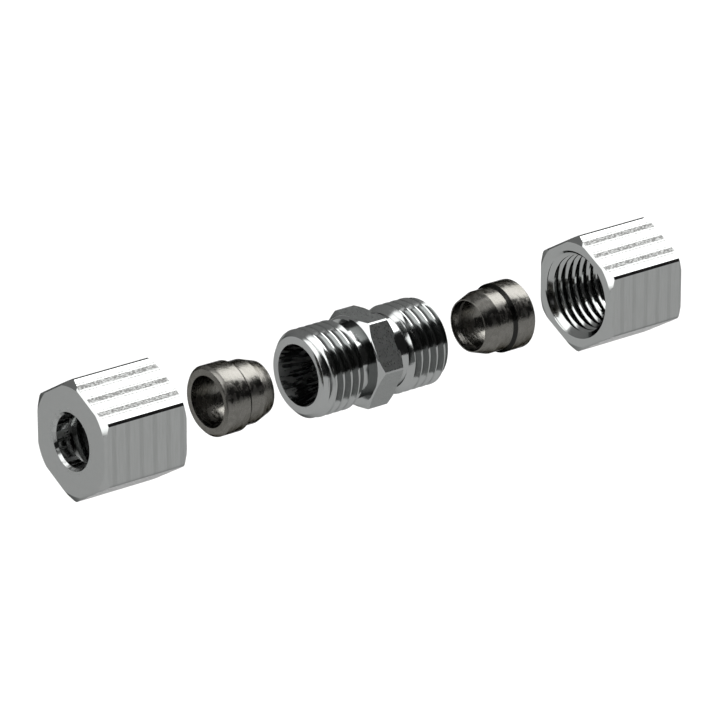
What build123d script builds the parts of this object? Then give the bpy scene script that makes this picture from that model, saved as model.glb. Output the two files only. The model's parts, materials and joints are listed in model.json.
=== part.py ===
# Straight compression fitting with 24 degree cones, for metal tube of 8 mm outside diameter.
# A turned body with a male thread and a cone at each end, and on each side a cutting ring
# and a union nut, drawn apart along one axis in the order in which they are put on the tube.
# Millimetres. The origin is the middle of the body, +X runs along the tube's axis and +Z is up.
import os
from math import cos, radians, tan

from build123d import *

# The tube and its passages
tube_diameter = 8.0
tube_clearance = 0.1
flow_bore_diameter = 6.0
socket_depth = 7.0
socket_diameter = tube_diameter + tube_clearance

# The body
body_length = 24.7
body_hex_across_flats = 14.0
body_hex_width = 4.8
body_hex_edge_flat = 0.35
body_hex_land = 0.95
thread_diameter = 14.0
thread_end_chamfer = 0.9
undercut_depth = 1.05
undercut_width = 2.7
undercut_foot_chamfer = 0.3
cone_half_angle = 12.0
cone_depth = 4.0

# The cutting ring, from its front edge back to its collar. Walls are measured from the bore
ring_length = 9.5
ring_front_wall = 0.175
ring_taper_half_angle = 18.0
ring_band_wall = 1.0
ring_collar_step = 0.5
ring_collar_length = 4.0
ring_collar_chamfer = 0.5
second_edge_setback = 1.9
second_edge_recess_length = 1.2
second_edge_height = 0.2

# The union nut, from its mouth back to its tube hole
nut_length = 15.2
nut_across_flats = 17.0
nut_edge_flat = 0.5
nut_face_diameter = 17.1
nut_bore_clearance = 0.1
nut_mouth_chamfer = 0.2
nut_hole_clearance = 0.3
nut_hole_length = 2.6
nut_hole_chamfer = 0.4

# The corners of both hexagons are turned off at this angle
hex_chamfer_angle = 30.0

# The gaps between the pieces as they lie apart, on the left and on the right
gaps = {
    "left": {"outward": -1, "body_to_ring": 8.0, "ring_to_nut": 10.3},
    "right": {"outward": 1, "body_to_ring": 9.25, "ring_to_nut": 12.8},
}

flank_angle = 30.0
hexagon_sides = 6
bar_to_flats = 1.2
half_length = body_length / 2
socket = socket_diameter / 2


def hexagon_bar(across_flats, edge_flat):
    """The section of a hexagon bar, each of its edges taken off to a narrow flat."""
    bar = RegularPolygon(across_flats / 2, hexagon_sides, major_radius=False)
    half_corner_turn = radians(180 / hexagon_sides)
    chamfer(bar.vertices(), edge_flat / (2 * cos(half_corner_turn)))


def turned_ends(across_flats, length, face):
    """The profile of a bar turned off at both ends, a little larger than the hexagon's corners."""
    bar = bar_to_flats * across_flats / 2
    drop = (bar - face) * tan(radians(hex_chamfer_angle))
    return [(0, 0), (0, face), (drop, bar), (length - drop, bar), (length, face), (length, 0)]


# One threaded end of the body, pointing along +X: undercut, thread and the turned-off first turn
crest = thread_diameter / 2
undercut = crest - undercut_depth
undercut_foot = undercut + undercut_foot_chamfer
hex_face = body_hex_width / 2
undercut_end = hex_face + undercut_width
flank_length = undercut_depth * tan(radians(flank_angle))
with BuildPart() as threaded_end:
    with BuildSketch(Plane.XY):
        with BuildLine():
            Polyline(
                (0, 0),
                (0, undercut_foot),
                (hex_face, undercut_foot),
                (hex_face + undercut_foot_chamfer, undercut),
                (undercut_end - flank_length, undercut),
                (undercut_end, crest),
                (half_length - thread_end_chamfer, crest),
                (half_length, crest - thread_end_chamfer),
                (half_length, 0),
                close=True,
            )
        make_face()
    revolve(axis=Axis.X)

# The body: a hexagon between two threaded ends, bored through, with a tube socket and a cone
# opening to each side
cone_mouth = socket + cone_depth * tan(radians(cone_half_angle))
tube_stop = half_length - socket_depth
body_hex_face = undercut + body_hex_land
hex_left_face = Plane(origin=(-hex_face, 0, 0), x_dir=(0, 1, 0), z_dir=(1, 0, 0))
with BuildPart() as fitting_body:
    with BuildSketch(hex_left_face):
        hexagon_bar(body_hex_across_flats, body_hex_edge_flat)
    extrude(amount=body_hex_width)
    with BuildSketch(Plane(origin=(-hex_face, 0, 0))):
        with BuildLine():
            Polyline(*turned_ends(body_hex_across_flats, body_hex_width, body_hex_face), close=True)
        make_face()
    revolve(axis=Axis.X, mode=Mode.INTERSECT)
    add(threaded_end.part)
    add(threaded_end.part.rotate(Axis.Z, 180))
    with BuildSketch(Plane.XY):
        with BuildLine():
            Polyline(
                (-half_length, 0),
                (-half_length, cone_mouth),
                (cone_depth - half_length, socket),
                (-tube_stop, socket),
                (-tube_stop, flow_bore_diameter / 2),
                (tube_stop, flow_bore_diameter / 2),
                (tube_stop, socket),
                (half_length - cone_depth, socket),
                (half_length, cone_mouth),
                (half_length, 0),
                close=True,
            )
        make_face()
    revolve(axis=Axis.X, mode=Mode.SUBTRACT)

fitting_body.part.label = "fitting_body"
parts = [fitting_body.part]

ring_front = socket + ring_front_wall
ring_band = socket + ring_band_wall
ring_collar = ring_band + ring_collar_step
ring_taper_length = (ring_band - ring_front) / tan(radians(ring_taper_half_angle))
nut_bore = thread_diameter / 2 + nut_bore_clearance
nut_hole = (tube_diameter + nut_hole_clearance) / 2
nut_hole_start = nut_length - nut_hole_length

for side, place in gaps.items():
    outward = place["outward"]

    # The cutting ring: a thin front edge, a taper, a band and a collar with a chamfered back.
    # A recess in the bore leaves a second edge behind the first, and both bite into the tube
    ring_front_x = half_length + place["body_to_ring"]
    ring_section = Plane(origin=(outward * ring_front_x, 0, 0), x_dir=(outward, 0, 0), z_dir=(0, 0, 1))
    with BuildPart() as cutting_ring:
        with BuildSketch(ring_section):
            with BuildLine():
                Polyline(
                    (0, socket),
                    (0, ring_front),
                    (ring_taper_length, ring_band),
                    (ring_length - ring_collar_length - ring_collar_step, ring_band),
                    (ring_length - ring_collar_length, ring_collar),
                    (ring_length - ring_collar_chamfer, ring_collar),
                    (ring_length, ring_collar - ring_collar_chamfer),
                    (ring_length, socket),
                    (second_edge_setback, socket),
                    (second_edge_setback, socket + second_edge_height),
                    (second_edge_setback - second_edge_recess_length, socket),
                    close=True,
                )
            make_face()
        revolve(axis=Axis.X)
    cutting_ring.part.label = f"{side}_cutting_ring"
    parts.append(cutting_ring.part)

    # The union nut: a hexagon with a corner up, a threaded bore, a 45 degree shoulder that
    # presses on the ring's collar, and the hole for the tube
    nut_mouth_x = ring_front_x + ring_length + place["ring_to_nut"]
    nut_mouth = Plane(origin=(outward * nut_mouth_x, 0, 0), x_dir=(0, 0, 1), z_dir=(outward, 0, 0))
    nut_section = Plane(origin=(outward * nut_mouth_x, 0, 0), x_dir=(outward, 0, 0), z_dir=(0, 0, 1))
    with BuildPart() as union_nut:
        with BuildSketch(nut_mouth):
            hexagon_bar(nut_across_flats, nut_edge_flat)
        extrude(amount=nut_length)
        with BuildSketch(nut_section):
            with BuildLine():
                Polyline(*turned_ends(nut_across_flats, nut_length, nut_face_diameter / 2), close=True)
            make_face()
        revolve(axis=Axis.X, mode=Mode.INTERSECT)
        with BuildSketch(nut_section):
            with BuildLine():
                Polyline(
                    (0, 0),
                    (0, nut_bore + nut_mouth_chamfer),
                    (nut_mouth_chamfer, nut_bore),
                    (nut_hole_start - (nut_bore - nut_hole), nut_bore),
                    (nut_hole_start, nut_hole),
                    (nut_length - nut_hole_chamfer, nut_hole),
                    (nut_length, nut_hole + nut_hole_chamfer),
                    (nut_length, 0),
                    close=True,
                )
            make_face()
        revolve(axis=Axis.X, mode=Mode.SUBTRACT)
    union_nut.part.label = f"{side}_union_nut"
    parts.append(union_nut.part)

os.makedirs("parts", exist_ok=True)
for piece in parts:
    export_step(piece, f"parts/{piece.label}.step")
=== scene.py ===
# Straight compression fitting for metal tube of 8 mm, drawn apart along the tube's axis.
# A turned body with a male thread and a cone at each end, two cutting rings and two union nuts.
# Lengths are in millimetres until mm turns them into Blender's metres. +X is the tube's axis.
import json
from math import cos, pi, radians, sin, tan

import bpy
from mathutils import Matrix, Vector


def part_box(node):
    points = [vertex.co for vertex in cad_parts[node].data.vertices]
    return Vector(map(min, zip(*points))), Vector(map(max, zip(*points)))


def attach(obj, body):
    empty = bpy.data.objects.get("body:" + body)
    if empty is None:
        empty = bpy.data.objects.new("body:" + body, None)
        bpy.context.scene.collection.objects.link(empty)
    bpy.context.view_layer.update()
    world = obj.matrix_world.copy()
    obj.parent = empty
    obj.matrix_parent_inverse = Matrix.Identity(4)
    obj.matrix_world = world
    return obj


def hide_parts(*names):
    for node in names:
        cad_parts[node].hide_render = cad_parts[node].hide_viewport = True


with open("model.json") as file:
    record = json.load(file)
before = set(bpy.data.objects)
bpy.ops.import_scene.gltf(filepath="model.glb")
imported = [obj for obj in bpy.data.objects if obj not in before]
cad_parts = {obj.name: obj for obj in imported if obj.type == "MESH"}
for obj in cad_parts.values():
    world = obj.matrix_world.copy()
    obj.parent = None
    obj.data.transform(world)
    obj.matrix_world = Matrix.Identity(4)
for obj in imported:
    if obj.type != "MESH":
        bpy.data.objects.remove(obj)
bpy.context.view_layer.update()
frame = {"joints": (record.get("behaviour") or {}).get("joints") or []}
mm = 0.001

# The camera: a long lens, near to a parallel view, to the left of the fitting and above it
camera_azimuth = radians(-39.488)
camera_elevation = radians(20.457)
camera_roll = radians(-0.205)
camera_distance = 820.4 * mm
camera_back = Vector((
    sin(camera_azimuth) * cos(camera_elevation),
    -cos(camera_azimuth) * cos(camera_elevation),
    sin(camera_elevation),
))
level_right = Vector((cos(camera_azimuth), sin(camera_azimuth), 0))
level_up = camera_back.cross(level_right)
camera_right = level_right * cos(camera_roll) + level_up * sin(camera_roll)
camera_up = camera_back.cross(camera_right)
camera_data = bpy.data.cameras.new("camera")
camera_data.sensor_width = 36
camera_data.lens = 267.7
camera_data.shift_x = -0.0014
camera_data.shift_y = -0.0039
camera_data.clip_start = 0.01
camera_data.clip_end = 20
camera = bpy.data.objects.new("camera", camera_data)
camera_turn = Matrix((camera_right, camera_up, camera_back)).transposed().to_4x4()
camera.matrix_world = Matrix.Translation(camera_back * camera_distance) @ camera_turn
bpy.context.scene.collection.objects.link(camera)
bpy.context.scene.camera = camera
bpy.context.scene.view_settings.view_transform = "Standard"


# The floor: a plain pale sheet well below the fitting, which floats above it as in the drawing.
# Its white is the sheet's own, and a part of it is the light that falls on it, with the shadow
def node(tree, kind, place, **settings):
    """A shader node at a place on the sheet, with its properties set."""
    made = tree.nodes.new(kind)
    made.location = place
    for key, value in settings.items():
        setattr(made, key, value)
    return made


def calculate(tree, operation, place, *values):
    """A maths node. Each value is a number or the output of another node."""
    made = node(tree, "ShaderNodeMath", place, operation=operation)
    for socket, value in zip(made.inputs, values):
        if isinstance(value, bpy.types.NodeSocket):
            tree.links.new(value, socket)
        else:
            socket.default_value = value
    return made.outputs[0]


floor_height = -120 * mm
floor_size = 6.0
floor_grey = 0.3
floor_own_white = 0.66
bpy.ops.object.select_all(action="DESELECT")
bpy.ops.mesh.primitive_plane_add(size=floor_size, location=(0, 0, floor_height))
floor = bpy.context.object
floor.name = "floor"
paper = bpy.data.materials.new("pale_floor")
paper.use_nodes = True
tree = paper.node_tree
surface = tree.nodes["Principled BSDF"]
surface.inputs["Base Color"].default_value = (floor_grey, floor_grey, floor_grey, 1)
surface.inputs["Roughness"].default_value = 0.9
surface.inputs["Specular IOR Level"].default_value = 0
surface.inputs["Emission Color"].default_value = (1, 1, 1, 1)
light_path = node(tree, "ShaderNodeLightPath", (-700, 0)).outputs
seen = calculate(
    tree, "MAXIMUM", (-500, 0), light_path["Is Camera Ray"], light_path["Is Glossy Ray"])
seen = calculate(tree, "MAXIMUM", (-350, 0), seen, light_path["Is Transmission Ray"])
own_white = calculate(tree, "MULTIPLY", (-200, 0), seen, floor_own_white)
tree.links.new(own_white, surface.inputs["Emission Strength"])
floor.data.materials.append(paper)


# The light: a studio of soft white panels round the fitting, with a black screen on the camera's
# side. Each panel is a patch of the sky, given by its direction and half its size
def split_axes(tree, vector, place):
    """The X, Y and Z of a position or a direction, as outputs."""
    made = node(tree, "ShaderNodeSeparateXYZ", place)
    tree.links.new(vector, made.inputs[0])
    return made.outputs


def blend_range(tree, value, place, low, high, start, end):
    """Spreads a value from low and high to start and end, and stops at both."""
    made = node(tree, "ShaderNodeMapRange", place, interpolation_type="SMOOTHSTEP")
    tree.links.new(value, made.inputs["Value"])
    for key, number in (("From Min", low), ("From Max", high), ("To Min", start), ("To Max", end)):
        made.inputs[key].default_value = number
    return made.outputs["Result"]


def patch(tree, direction, centre, half_size, edge, place):
    """A mask of 1 inside a box of directions, fading to 0 over the edge."""
    mask = None
    column, top = place
    for index, axis in enumerate("XYZ"):
        row = top - 40 * index
        away = calculate(tree, "SUBTRACT", (column, row), direction[axis], centre[index])
        away = calculate(tree, "ABSOLUTE", (column + 150, row), away)
        low = half_size[index] - edge
        high = half_size[index] + edge
        inside = blend_range(tree, away, (column + 300, row), low, high, 1, 0)
        if mask is not None:
            inside = calculate(tree, "MULTIPLY", (column + 450, row), mask, inside)
        mask = inside
    return mask


wall_light = 0.45
panels = [
    # light, centre of the patch of directions, half its size, soft edge
    (6.3, (0.74, 0.06, 0.80), (0.36, 0.36, 0.46), 0.04),
    (0.9, (0.00, -0.05, 1.00), (0.38, 0.36, 0.20), 0.06),
    (3.6, (-0.83, 0.15, 0.43), (0.28, 0.37, 0.42), 0.06),
    # the black screen takes light away
    (-0.42, (0.00, -0.85, 0.38), (1.20, 0.50, 0.45), 0.04),
]
world = bpy.data.worlds.new("studio")
bpy.context.scene.world = world
world.use_nodes = True
tree = world.node_tree
coordinates = node(tree, "ShaderNodeTexCoord", (-1400, 0))
direction = split_axes(tree, coordinates.outputs["Generated"], (-1200, 0))
total = wall_light
for index, (light, centre, half_size, edge) in enumerate(panels):
    row = -200 * index
    mask = patch(tree, direction, centre, half_size, edge, (-1000, row))
    mask = calculate(tree, "MULTIPLY", (-350, row), mask, light)
    total = calculate(tree, "ADD", (-200, row), total, mask)
background = tree.nodes["Background"]
background.inputs["Color"].default_value = (1, 1, 1, 1)
tree.links.new(total, background.inputs["Strength"])


# The body: one piece, turned from steel bar, with the hexagon milled, the threads cut last, and
# the whole zinc plated. It replaces the CAD node, whose ends are plain cylinders without threads
def select_only(piece):
    """Makes the piece the one thing selected."""
    bpy.ops.object.select_all(action="DESELECT")
    piece.select_set(True)
    bpy.context.view_layer.objects.active = piece


def settle():
    """Puts the active object's place, turn and scale into its mesh."""
    bpy.ops.object.transform_apply(location=True, rotation=True, scale=True)


def mirrored(half):
    """The whole outline of a piece that is the same on both sides of x = 0."""
    return [(-x, radius) for x, radius in reversed(half)] + half


def placed(outline, front, outward):
    """An outline measured from a piece's front, moved to its place along the tube."""
    return [(front + outward * x, radius) for x, radius in outline]


def bar_ends(length, face, bar):
    """The outline of a bar whose ends are turned off, from its face out to beyond its corners."""
    drop = (bar - face) * tan(hex_chamfer_angle)
    return [(0, 0), (0, face), (drop, bar), (length - drop, bar), (length, face), (length, 0)]


def turned(name, outline, corner=0):
    """A turned solid. Its outline of (x, radius) points is drawn, its corners off the axis are
    rounded, and it is spun about the tube's axis."""
    facets = 144
    point_gap = 0.0001 * mm
    seam_gap = 0.0005 * mm
    bpy.ops.object.select_all(action="DESELECT")
    bpy.ops.mesh.primitive_plane_add(size=mm)
    piece = bpy.context.object
    piece.name = name
    bpy.ops.object.mode_set(mode="EDIT")
    bpy.ops.mesh.select_all(action="SELECT")
    bpy.ops.mesh.merge(type="CENTER")
    points = [Vector((x, 0, radius)) * mm for x, radius in outline]
    bpy.ops.transform.translate(value=points[0])
    for start, end in zip(points, points[1:] + points[:1]):
        bpy.ops.mesh.extrude_vertices_move(TRANSFORM_OT_translate={"value": end - start})
    bpy.ops.mesh.select_all(action="SELECT")
    bpy.ops.mesh.remove_doubles(threshold=point_gap)
    if corner:
        bpy.ops.mesh.select_all(action="DESELECT")
        bpy.ops.object.mode_set(mode="OBJECT")
        for vertex in piece.data.vertices:
            vertex.select = vertex.co.z > corner * mm
        bpy.ops.object.mode_set(mode="EDIT")
        bpy.ops.mesh.bevel(offset=corner * mm, segments=3, affect="VERTICES")
    bpy.ops.mesh.select_all(action="SELECT")
    bpy.ops.mesh.spin(steps=facets, angle=2 * pi, center=(0, 0, 0), axis=(1, 0, 0))
    bpy.ops.mesh.select_all(action="SELECT")
    bpy.ops.mesh.remove_doubles(threshold=seam_gap)
    bpy.ops.mesh.normals_make_consistent(inside=False)
    bpy.ops.object.mode_set(mode="OBJECT")
    return piece


def open_edges(piece):
    """How many edges of the piece don't have a face on each side."""
    faces_at = {}
    for face in piece.data.polygons:
        for edge in face.edge_keys:
            faces_at[edge] = faces_at.get(edge, 0) + 1
    return sum(1 for count in faces_at.values() if count != 2)


def combine(piece, tool, operation):
    """Cuts the tool out of the piece, joins it on, or keeps what both fill. The tool is used up.
    If the cut leaves a gap or loses the piece, the tool is turned by a hair and tried again."""
    last_attempt = 4
    hair_turn = Matrix.Rotation(radians(0.13), 4, "X")
    sliver = 0.0003 * mm
    length_slack = 0.001 * mm
    start = piece.data.copy()
    kept_length = 0 if operation == "INTERSECT" else piece.dimensions.x - length_slack
    for attempt in range(last_attempt + 1):
        select_only(piece)
        boolean = piece.modifiers.new(operation.lower(), "BOOLEAN")
        boolean.operation = operation
        boolean.solver = "EXACT"
        boolean.object = tool
        bpy.ops.object.modifier_apply(modifier=boolean.name)
        bpy.ops.object.mode_set(mode="EDIT")
        bpy.ops.mesh.select_all(action="SELECT")
        bpy.ops.mesh.remove_doubles(threshold=sliver)
        bpy.ops.object.mode_set(mode="OBJECT")
        bpy.context.view_layer.update()
        whole = len(piece.data.polygons) and piece.dimensions.x >= kept_length
        if (whole and open_edges(piece) == 0) or attempt == last_attempt:
            break
        piece.data = start.copy()
        tool.data.transform(hair_turn)
    bpy.data.objects.remove(tool)


def hexagon_bar(name, across_flats, edge_flat, left, right, first_corner):
    """A length of hexagon bar along the tube's axis, its long edges taken off to narrow flats."""
    flat_to_corner = cos(radians(30))
    bpy.ops.object.select_all(action="DESELECT")
    bpy.ops.mesh.primitive_cylinder_add(
        vertices=6,
        radius=across_flats / 2 / flat_to_corner * mm,
        depth=(right - left) * mm,
        location=((left + right) / 2 * mm, 0, 0),
        rotation=(0, radians(90), 0),
    )
    piece = bpy.context.object
    piece.name = name
    settle()
    piece.rotation_euler = (first_corner, 0, 0)
    settle()
    bpy.ops.object.mode_set(mode="EDIT")
    bpy.ops.mesh.select_all(action="DESELECT")
    bpy.ops.object.mode_set(mode="OBJECT")
    corners = piece.data.vertices
    for edge in piece.data.edges:
        start, end = (corners[i].co for i in edge.vertices)
        edge.select = abs(end.x - start.x) > mm
    bpy.ops.object.mode_set(mode="EDIT")
    bpy.ops.mesh.select_mode(type="EDGE")
    bpy.ops.mesh.bevel(offset=edge_flat / 2 / flat_to_corner * mm, segments=1)
    bpy.ops.mesh.select_mode(type="VERT")
    bpy.ops.object.mode_set(mode="OBJECT")
    return piece


def thread_cutter(name, root, root_flat, rim, start, end, phase):
    """The coil that a thread's groove takes away: a wedge from its root to beyond the thread's
    rim, wound from start to end. phase is where its middle crosses the +Y side."""
    steps_a_turn = 96
    root_rounding = root_flat / 3
    quarter_turn = thread_pitch / 4
    grow = abs(rim - root) * tan(thread_flank)
    turns_before = int((start - phase) / thread_pitch) - 1
    middle = phase + turns_before * thread_pitch + quarter_turn
    turns = int((end - middle) / thread_pitch) + 2
    bpy.ops.object.select_all(action="DESELECT")
    bpy.ops.mesh.primitive_plane_add(size=mm, rotation=(radians(90), 0, 0))
    piece = bpy.context.object
    piece.name = name
    settle()
    wedge = {
        (-1, -1): (middle - root_flat / 2, root),
        (1, -1): (middle + root_flat / 2, root),
        (-1, 1): (middle - root_flat / 2 - grow, rim),
        (1, 1): (middle + root_flat / 2 + grow, rim),
    }
    for vertex in piece.data.vertices:
        x, radius = wedge[(1 if vertex.co.x > 0 else -1, 1 if vertex.co.z > 0 else -1)]
        vertex.co = Vector((x, 0, radius)) * mm
        vertex.select = radius == root
    bpy.ops.object.mode_set(mode="EDIT")
    bpy.ops.mesh.bevel(offset=root_rounding * mm, segments=2, affect="VERTICES")
    bpy.ops.mesh.select_all(action="SELECT")
    bpy.ops.mesh.delete(type="ONLY_FACE")
    bpy.ops.object.mode_set(mode="OBJECT")
    coil = piece.modifiers.new("coil", "SCREW")
    coil.axis = "X"
    coil.angle = 2 * pi
    coil.screw_offset = thread_pitch * mm
    coil.iterations = turns
    coil.steps = steps_a_turn
    coil.render_steps = steps_a_turn
    bpy.ops.object.modifier_apply(modifier=coil.name)
    bpy.ops.object.mode_set(mode="EDIT")
    bpy.ops.mesh.select_all(action="SELECT")
    bpy.ops.mesh.fill_holes(sides=0)
    bpy.ops.mesh.normals_make_consistent(inside=False)
    bpy.ops.object.mode_set(mode="OBJECT")
    piece.rotation_euler = (coil_start, 0, 0)
    piece.location.x = thread_pitch * coil_start / (2 * pi) * mm
    settle()
    return piece


def finish_piece(piece, node_name, material):
    """Shades the piece, gives it its material and puts it in the place of its CAD node."""
    select_only(piece)
    bpy.ops.object.shade_smooth_by_angle(angle=radians(25))
    piece.data.materials.clear()
    piece.data.materials.append(material)
    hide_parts(node_name)
    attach(piece, node_name)


# The thread is M14 x 1.5. Its phase is where a groove crosses the +Y side, and its coil starts a
# little off the facets of the turned pieces, so that no edge of the two lies on another
thread_pitch = 1.5
thread_flank = radians(30)
thread_crest = 7.0
thread_root = 6.14
thread_root_flat = 0.3
thread_overcut = 0.08
thread_runout = 0.3
thread_phase = {"left": -0.095, "right": 0.373}
coil_start = radians(0.7)

body_half = 12.35
body_undercut = 5.95
body_undercut_end = 5.1
body_end_chamfer = 0.9
body_edge = 0.06
body_hex_half = 2.4
body_hex_across_flats = 14.0
body_hex_edge_flat = 0.35
body_hex_land = 0.95
body_hex_bar = 8.4
body_hex_turn = 0
hex_chamfer_angle = radians(30)
body_socket = 4.05
body_socket_depth = 7.0
body_cone_mouth = 4.9
body_cone_depth = 4.0
body_cone_half_angle = radians(12)
body_flow_bore = 3.0
bore_overrun = 0.5

flank_length = (thread_crest - body_undercut) * tan(thread_flank)
body = turned("fitting_body_threaded", mirrored([
    (body_undercut_end - flank_length, body_undercut),
    (body_undercut_end, thread_crest),
    (body_half - body_end_chamfer, thread_crest),
    (body_half, thread_crest - body_end_chamfer),
    (body_half, 0),
]), corner=body_edge)

hexagon = hexagon_bar(
    "hexagon", body_hex_across_flats, body_hex_edge_flat, -body_hex_half, body_hex_half, body_hex_turn)
hexagon_ends = bar_ends(2 * body_hex_half, body_undercut + body_hex_land, body_hex_bar)
hexagon_blank = turned("hexagon_blank", placed(hexagon_ends, -body_hex_half, 1))
combine(hexagon, hexagon_blank, "INTERSECT")
combine(body, hexagon, "UNION")

overrun_mouth = body_cone_mouth + bore_overrun * tan(body_cone_half_angle)
body_bore = turned("body_bore", mirrored([
    (body_half - body_socket_depth, body_flow_bore),
    (body_half - body_socket_depth, body_socket),
    (body_half - body_cone_depth, body_socket),
    (body_half + bore_overrun, overrun_mouth),
    (body_half + bore_overrun, 0),
]))
combine(body, body_bore, "DIFFERENCE")

thread_inner_end = body_undercut_end - thread_runout
thread_outer_end = body_half + bore_overrun
thread_spans = {
    "left": (-thread_outer_end, -thread_inner_end),
    "right": (thread_inner_end, thread_outer_end),
}
for side, (start, end) in thread_spans.items():
    groove = thread_cutter(
        f"{side}_groove", thread_root, thread_root_flat, thread_crest + thread_overcut,
        start, end, thread_phase[side])
    combine(body, groove, "DIFFERENCE")


def effect(name, outputs):
    """An empty node group that works from a position on the piece. Returns its tree, the position
    and the node that takes its results."""
    group = bpy.data.node_groups.new(name, "ShaderNodeTree")
    group.interface.new_socket("Vector", in_out="INPUT", socket_type="NodeSocketVector")
    for key in outputs:
        group.interface.new_socket(key, in_out="OUTPUT", socket_type="NodeSocketFloat")
    position = node(group, "NodeGroupInput", (-1400, 0)).outputs["Vector"]
    return group, position, node(group, "NodeGroupOutput", (900, 0))


def place_effect(tree, group, place, position):
    """Puts a node group into a material. Returns its outputs."""
    made = node(tree, "ShaderNodeGroup", place)
    made.node_tree = group
    tree.links.new(position, made.inputs["Vector"])
    return made.outputs


def tint(tree, factor, place, plain, marked):
    """A colour between two, by a factor. The plain one may be the output of another node."""
    made = node(tree, "ShaderNodeMix", place, data_type="RGBA")
    tree.links.new(factor, made.inputs["Factor"])
    if isinstance(plain, bpy.types.NodeSocket):
        tree.links.new(plain, made.inputs["A"])
    else:
        made.inputs["A"].default_value = (*plain, 1)
    made.inputs["B"].default_value = (*marked, 1)
    return made.outputs["Result"]


def stretched_noise(tree, vector, place, scale, detail):
    """Noise whose grains are as many a metre along each axis as scale says."""
    stretch = node(tree, "ShaderNodeVectorMath", place, operation="MULTIPLY")
    tree.links.new(vector, stretch.inputs[0])
    stretch.inputs[1].default_value = scale
    noise = node(tree, "ShaderNodeTexNoise", (place[0] + 150, place[1]))
    noise.inputs["Scale"].default_value = 1
    noise.inputs["Detail"].default_value = detail
    tree.links.new(stretch.outputs[0], noise.inputs["Vector"])
    return noise.outputs["Fac"]


def distance_from_axis(tree, axes, place):
    """How far a position is from the tube's axis."""
    column, row = place
    squares = []
    for index, axis in enumerate("YZ"):
        spot = (column, row - 100 * index)
        squares.append(calculate(tree, "MULTIPLY", spot, axes[axis], axes[axis]))
    total = calculate(tree, "ADD", (column + 150, row), *squares)
    return calculate(tree, "SQRT", (column + 300, row), total)


# Turning marks run round the axis, blotches are patches of uneven plating, and streaks are what a
# reamer leaves along a bore
turning_grain = (6000, 2500, 0)
blotch_grain = (1500, 900, 900)
streak_grain = (120, 1600, 1600)
marks, position, result = effect("turned_surface", ["Radius", "Marks", "Blotches", "Streaks"])
axes = split_axes(marks, position, (-1200, -200))
radius = distance_from_axis(marks, axes, (-1000, -200))
marks.links.new(radius, result.inputs["Radius"])
along = node(marks, "ShaderNodeCombineXYZ", (-500, -300))
marks.links.new(axes["X"], along.inputs["X"])
marks.links.new(radius, along.inputs["Y"])
turning_marks = stretched_noise(marks, along.outputs[0], (-300, -300), turning_grain, 2)
marks.links.new(turning_marks, result.inputs["Marks"])
blotches = stretched_noise(marks, position, (-300, 200), blotch_grain, 4)
marks.links.new(blotches, result.inputs["Blotches"])
streaks = stretched_noise(marks, position, (-300, 500), streak_grain, 4)
marks.links.new(streaks, result.inputs["Streaks"])


def bare_metal(name):
    """A metal with nothing on it yet, its edges kept from going white. Returns it with the
    position on the piece and the marks of turning."""
    material = bpy.data.materials.new(name)
    material.use_nodes = True
    tree = material.node_tree
    surface = tree.nodes["Principled BSDF"]
    surface.inputs["Metallic"].default_value = 1
    surface.inputs["Specular Tint"].default_value = (0.2, 0.2, 0.2, 1)
    position = node(tree, "ShaderNodeTexCoord", (-1600, 0)).outputs["Object"]
    return material, position, place_effect(tree, marks, (-1350, 0), position)


def relief(material, height, row, strength, depth):
    """Raises the surface by a height, through its normal."""
    tree = material.node_tree
    bump = node(tree, "ShaderNodeBump", (-300, row))
    bump.inputs["Strength"].default_value = strength
    bump.inputs["Distance"].default_value = depth
    tree.links.new(height, bump.inputs["Height"])
    tree.links.new(bump.outputs["Normal"], tree.nodes["Principled BSDF"].inputs["Normal"])


def coat(material, color, rough):
    """Gives the material its colour and its roughness."""
    surface = material.node_tree.nodes["Principled BSDF"]
    material.node_tree.links.new(color, surface.inputs["Base Color"])
    material.node_tree.links.new(rough, surface.inputs["Roughness"])


def zinc_plating(material, turning, plain, worn, roughness):
    """Faint turning marks, uneven plating, and streaks inside the bores. Returns its colour and
    its roughness."""
    bore_fade = (5.0 * mm, 5.1 * mm)
    streak_fade = (0.45, 0.62)
    blotch_fade = (0.35, 0.65)
    streak_roughness = 0.35
    streak_height = 6
    tree = material.node_tree
    in_bore = blend_range(tree, turning["Radius"], (-1100, 300), *bore_fade, 1, 0)
    streaked = blend_range(tree, turning["Streaks"], (-1100, 100), *streak_fade, 0, 1)
    streaked = calculate(tree, "MULTIPLY", (-900, 200), streaked, in_bore)
    rough = blend_range(tree, turning["Blotches"], (-1100, -100), *blotch_fade, *roughness)
    rough = calculate(tree, "MULTIPLY_ADD", (-700, 0), streaked, streak_roughness, rough)
    color = tint(tree, turning["Blotches"], (-500, 200), plain, worn)
    height = calculate(
        tree, "MULTIPLY_ADD", (-700, -300), streaked, streak_height, turning["Marks"])
    relief(material, height, -300, strength=0.25, depth=0.004 * mm)
    return color, rough


def along_the_tube(tree):
    """A mask of 1 on the faces that run along the tube, and 0 on those that lean or cross it."""
    lean_fade = (0.15, 0.25)
    shape = node(tree, "ShaderNodeNewGeometry", (-1600, -500))
    normal = split_axes(tree, shape.outputs["Normal"], (-1400, -500))
    lean = calculate(tree, "ABSOLUTE", (-1200, -500), normal["X"])
    return blend_range(tree, lean, (-1000, -500), *lean_fade, 1, 0)


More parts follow.
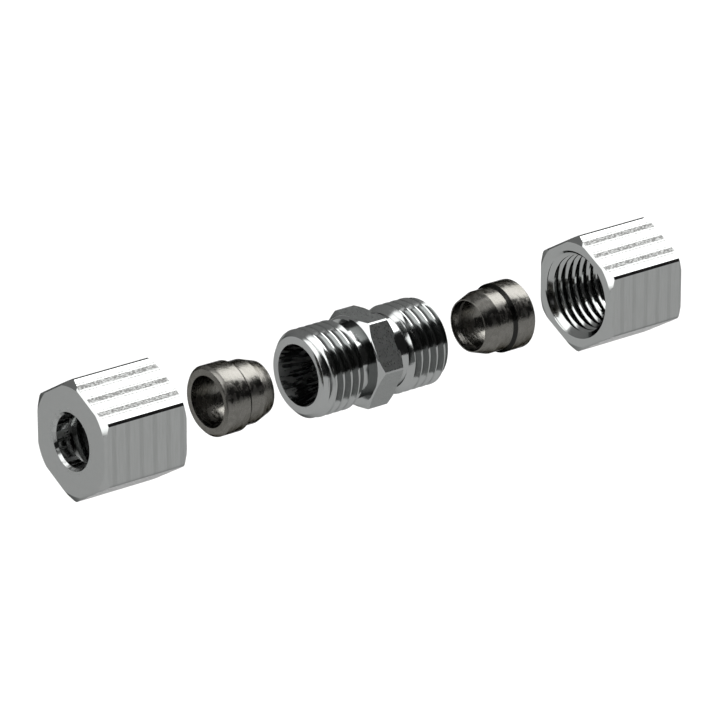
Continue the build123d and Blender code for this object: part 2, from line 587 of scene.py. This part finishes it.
# The hexagon's flats are milled, which leaves them rougher than what is turned
steel_plain = (0.245, 0.252, 0.250)
steel_worn = (0.275, 0.282, 0.278)
steel_roughness = (0.09, 0.15)
milled_roughness = (0.26, 0.42)
milled_grain = (9000, 2500, 2500)
milled_grain_fade = (0.3, 0.7)
hexagon_fade = (2.36 * mm, 2.42 * mm)
steel, position, turning = bare_metal("zinc_plated_steel")
tree = steel.node_tree
color, rough = zinc_plating(steel, turning, steel_plain, steel_worn, steel_roughness)
from_middle = split_axes(tree, position, (-1400, -700))["X"]
from_middle = calculate(tree, "ABSOLUTE", (-1200, -700), from_middle)
in_hexagon = blend_range(tree, from_middle, (-1000, -700), *hexagon_fade, 1, 0)
milled = calculate(tree, "MULTIPLY", (-800, -600), along_the_tube(tree), in_hexagon)
grain = stretched_noise(tree, position, (-1200, -900), milled_grain, 5)
milled_rough = blend_range(tree, grain, (-800, -900), *milled_grain_fade, *milled_roughness)
milled_rough = calculate(tree, "MULTIPLY", (-600, -700), milled_rough, milled)
coat(steel, color, calculate(tree, "MAXIMUM", (-400, -100), rough, milled_rough))
finish_piece(body, "fitting_body", steel)


# The cutting rings: turned from steel bar, hardened, and left a darker, satin grey. The thin
# front edge and the second edge in the bore bite into the tube when the nut is tightened
def front_of(name, outward):
    """Where the end of a piece that faces the body lies along the tube."""
    low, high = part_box(name)
    return (high.x if outward < 0 else low.x) / mm


sides = {"left": -1, "right": 1}
ring_length = 9.5
ring_bore = 4.05
ring_front_edge = 4.225
ring_taper_end = 2.54
ring_band = 5.05
ring_band_end = 5.0
ring_step_end = 5.5
ring_collar = 5.55
ring_back_chamfer = 0.5
ring_edge = 0.05
second_edge = 1.9
second_edge_recess_start = 0.7
second_edge_recess = 4.25
ring_outline = [
    (0, ring_bore),
    (0, ring_front_edge),
    (ring_taper_end, ring_band),
    (ring_band_end, ring_band),
    (ring_step_end, ring_collar),
    (ring_length - ring_back_chamfer, ring_collar),
    (ring_length, ring_collar - ring_back_chamfer),
    (ring_length, ring_bore),
    (second_edge, ring_bore),
    (second_edge, second_edge_recess),
    (second_edge_recess_start, ring_bore),
]

# The finish is mottled all over. The step between the band and the collar is painted dark, as painted
# shade in that corner
ring_plain = (0.112, 0.109, 0.100)
ring_mottled = (0.142, 0.138, 0.128)
ring_step_painted_shade = (0.018, 0.018, 0.017)
ring_roughness = (0.19, 0.34)
ring_blotch_fade = (0.35, 0.65)
ring_mottle_fade = (0.38, 0.64)
ring_mottle_height = 7
ring_step_painted_shade_fade = (0.22 * mm, 0.34 * mm)
ring_outside_fade = (4.7 * mm, 4.9 * mm)
ring_step_middle = (ring_band_end + ring_step_end) / 2
ring_steel, position, turning = bare_metal("ring_steel")
tree = ring_steel.node_tree
mottle = blend_range(tree, turning["Blotches"], (-1100, 0), *ring_mottle_fade, 0, 1)
along_tube = split_axes(tree, position, (-1350, 400))["X"]
# A mask of the step between the band and the collar on both rings, where shade is painted into the
# colour
painted_step_shade = None
for index, (side, outward) in enumerate(sides.items()):
    row = 400 + 150 * index
    step_x = (front_of(f"{side}_cutting_ring", outward) + outward * ring_step_middle) * mm
    away = calculate(tree, "SUBTRACT", (-1150, row), along_tube, step_x)
    away = calculate(tree, "ABSOLUTE", (-1000, row), away)
    near = blend_range(tree, away, (-850, row), *ring_step_painted_shade_fade, 1, 0)
    painted_step_shade = near if painted_step_shade is None else calculate(tree, "MAXIMUM", (-650, 400), painted_step_shade, near)
outside = blend_range(tree, turning["Radius"], (-850, 250), *ring_outside_fade, 0, 1)
painted_step_shade = calculate(tree, "MULTIPLY", (-500, 400), painted_step_shade, outside)
color = tint(tree, mottle, (-500, 200), ring_plain, ring_mottled)
# Painted shade: the colour goes dark in the step
color = tint(tree, painted_step_shade, (-250, 200), color, ring_step_painted_shade)
rough = blend_range(tree, turning["Blotches"], (-500, 0), *ring_blotch_fade, *ring_roughness)
height = calculate(tree, "MULTIPLY_ADD", (-500, -200), mottle, ring_mottle_height, turning["Marks"])
relief(ring_steel, height, -200, strength=0.3, depth=0.006 * mm)
coat(ring_steel, color, rough)

for side, outward in sides.items():
    outline = placed(ring_outline, front_of(f"{side}_cutting_ring", outward), outward)
    ring = turned(f"{side}_cutting_ring_turned", outline, corner=ring_edge)
    finish_piece(ring, f"{side}_cutting_ring", ring_steel)

# The union nuts: steel hexagon bar, turned at both ends, bored and threaded, and zinc plated.
# Inside, behind the thread, a 45 degree shoulder presses on the back of the cutting ring
nut_length = 15.2
nut_across_flats = 17.0
nut_edge_flat = 0.5
nut_hex_turn = radians(30)
nut_face = 8.55
nut_bar = 10.2
nut_thread_crest = 6.19
nut_thread_root = 7.04
nut_thread_root_flat = 0.2
nut_thread_end = 10.0
nut_mouth = 7.16
nut_hole = 4.15
nut_hole_start = 12.6
nut_hole_chamfer = 0.4

# The marks on the flats, partly marks of the drawn bar and partly painted reflection: dark, speckled
# stripes with hairlines beside them, which run lengthwise on every second flat, and faint bands across
# the flats between those. Their darkness copies the streaked reflection of the light on the flats
half_turn_flats = 3
stripe_pitch = 2.8 * mm
stripe_shift = 3.5 * mm
stripe_rise = (0, 0.12 * mm)
stripe_fall = (0.85 * mm, 1.2 * mm)
hairlines = [(1.3 * mm, 0.85), (2.6 * mm, 0.8)]
hairline_fade = (0.06 * mm, 0.14 * mm)
speckle_grain = (2600, 4200, 4200)
speckle_fade = (0.35, 0.6)
speckle_range = (0.62, 1)
band_pitch = 2.5 * mm
band_fade = (0.3 * mm, 0.5 * mm)
cross_grain_size = (5200, 260, 260)
cross_grain_fade = (0.35, 0.65)
cross_grain_range = (0, 0.7)
lines, position, result = effect("flat_marks_and_reflection", ["Lengthwise", "Crosswise"])
axes = split_axes(lines, position, (-1250, 0))
turn = calculate(lines, "ARCTAN2", (-1100, 0), axes["Z"], axes["Y"])
flat = calculate(lines, "MULTIPLY", (-950, 0), turn, half_turn_flats / pi)
flat = calculate(lines, "ROUND", (-800, 0), flat)
odd_flat = calculate(lines, "ABSOLUTE", (-650, 0), flat)
odd_flat = calculate(lines, "MODULO", (-500, 0), odd_flat, 2)
odd_flat = calculate(lines, "ROUND", (-350, 0), odd_flat)
even_flat = calculate(lines, "SUBTRACT", (-200, 0), 1, odd_flat)

offset = calculate(lines, "MULTIPLY_ADD", (-650, -200), flat, -pi / half_turn_flats, turn)
offset = calculate(lines, "SINE", (-500, -200), offset)
radius = distance_from_axis(lines, axes, (-1000, -400))
sideways = calculate(lines, "MULTIPLY", (-350, -200), offset, radius)
sideways = calculate(lines, "ADD", (-200, -200), sideways, stripe_shift)
within = calculate(lines, "FLOORED_MODULO", (-50, -200), sideways, stripe_pitch)
rise = blend_range(lines, within, (100, -100), *stripe_rise, 0, 1)
fall = blend_range(lines, within, (100, -250), *stripe_fall, 1, 0)
stripe = calculate(lines, "MULTIPLY", (300, -150), rise, fall)
for index, (middle, strength) in enumerate(hairlines):
    row = -400 - 150 * index
    away = calculate(lines, "SUBTRACT", (100, row), within, middle)
    away = calculate(lines, "ABSOLUTE", (250, row), away)
    hair = blend_range(lines, away, (400, row), *hairline_fade, strength, 0)
    stripe = calculate(lines, "MAXIMUM", (550, row + 200), stripe, hair)
speckle = stretched_noise(lines, position, (-300, 300), speckle_grain, 4)
speckle = blend_range(lines, speckle, (100, 300), *speckle_fade, *speckle_range)
stripe = calculate(lines, "MULTIPLY", (550, 100), stripe, speckle)
stripe = calculate(lines, "MULTIPLY", (700, 0), stripe, even_flat)
lines.links.new(stripe, result.inputs["Lengthwise"])

band = calculate(lines, "FLOORED_MODULO", (-350, -800), axes["X"], band_pitch)
band = calculate(lines, "SUBTRACT", (-200, -800), band, band_pitch / 2)
band = calculate(lines, "ABSOLUTE", (-50, -800), band)
band = blend_range(lines, band, (100, -800), *band_fade, 1, 0)
cross_grain = stretched_noise(lines, position, (-300, -1000), cross_grain_size, 3)
cross_grain = blend_range(
    lines, cross_grain, (100, -1000), *cross_grain_fade, *cross_grain_range)
band = calculate(lines, "ADD", (350, -800), band, cross_grain)
band = calculate(lines, "MULTIPLY", (500, -800), band, odd_flat)
lines.links.new(band, result.inputs["Crosswise"])

nut_plain = (0.245, 0.252, 0.248)
nut_worn = (0.270, 0.276, 0.272)
nut_roughness = (0.06, 0.13)
nut_outside_fade = (8.2 * mm, 8.3 * mm)
stripe_mark_and_reflection_grey = 0.062
stripe_strength = 1
stripe_roughness = 0.25
band_mark_and_reflection_grey = 0.12
band_strength = 0.15
band_roughness = 0.06
blue_share = 0.98
nut_steel, position, turning = bare_metal("nut_steel")
tree = nut_steel.node_tree
color, rough = zinc_plating(nut_steel, turning, nut_plain, nut_worn, nut_roughness)
on_outside = blend_range(tree, turning["Radius"], (-1000, -900), *nut_outside_fade, 0, 1)
on_flats = calculate(tree, "MULTIPLY", (-800, -600), along_the_tube(tree), on_outside)
drawn = place_effect(tree, lines, (-1200, -700), position)
lengthwise = calculate(tree, "MULTIPLY", (-600, -600), drawn["Lengthwise"], on_flats)
crosswise = calculate(tree, "MULTIPLY", (-600, -800), drawn["Crosswise"], on_flats)
# The stripes and bands are tinted into the colour: partly marks of the drawn bar, partly painted
# reflection
flat_tints_marks_and_reflection = [(lengthwise, stripe_strength, stripe_mark_and_reflection_grey), (crosswise, band_strength, band_mark_and_reflection_grey)]
for index, (mask, strength, grey) in enumerate(flat_tints_marks_and_reflection):
    factor = calculate(tree, "MULTIPLY", (-450, 500 + 100 * index), mask, strength)
    marked = (grey, grey, grey * blue_share)
    color = tint(tree, factor, (-250 + 200 * index, 400), color, marked)
rough = calculate(tree, "MULTIPLY_ADD", (-300, -500), lengthwise, stripe_roughness, rough)
rough = calculate(tree, "MULTIPLY_ADD", (-150, -500), crosswise, band_roughness, rough)
coat(nut_steel, color, rough)

# The nut's ridges are cut where the body's grooves are once the nut is closed, so that the two
# threads stand in each other
nut_bore_end = nut_hole_start - (nut_thread_crest - nut_hole)
travel = {joint["name"]: joint["range_m"][1] / mm for joint in frame["joints"]}
for side, outward in sides.items():
    low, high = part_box(f"{side}_union_nut")
    mouth = front_of(f"{side}_union_nut", outward)
    nut = hexagon_bar(
        f"{side}_union_nut_threaded", nut_across_flats, nut_edge_flat, low.x / mm, high.x / mm,
        nut_hex_turn)
    nut_ends = bar_ends(nut_length, nut_face, nut_bar)
    combine(nut, turned("nut_blank", placed(nut_ends, mouth, outward)), "INTERSECT")
    nut_bore = turned("nut_bore", placed([
        (-bore_overrun, 0),
        (-bore_overrun, nut_mouth + bore_overrun),
        (nut_mouth - nut_thread_crest, nut_thread_crest),
        (nut_bore_end, nut_thread_crest),
        (nut_hole_start, nut_hole),
        (nut_length - nut_hole_chamfer, nut_hole),
        (nut_length + bore_overrun, nut_hole + nut_hole_chamfer + bore_overrun),
        (nut_length + bore_overrun, 0),
    ], mouth, outward))
    combine(nut, nut_bore, "DIFFERENCE")
    slide = travel[f"{side}_ring_slide"] + travel[f"{side}_nut_slide"]
    ridge_phase = thread_phase[side] + outward * slide
    start, end = sorted((mouth - outward * bore_overrun, mouth + outward * nut_thread_end))
    groove = thread_cutter(
        "nut_groove", nut_thread_root, nut_thread_root_flat, nut_thread_crest - thread_overcut,
        start, end, ridge_phase + thread_pitch / 2)
    combine(nut, groove, "DIFFERENCE")
    finish_piece(nut, f"{side}_union_nut", nut_steel)
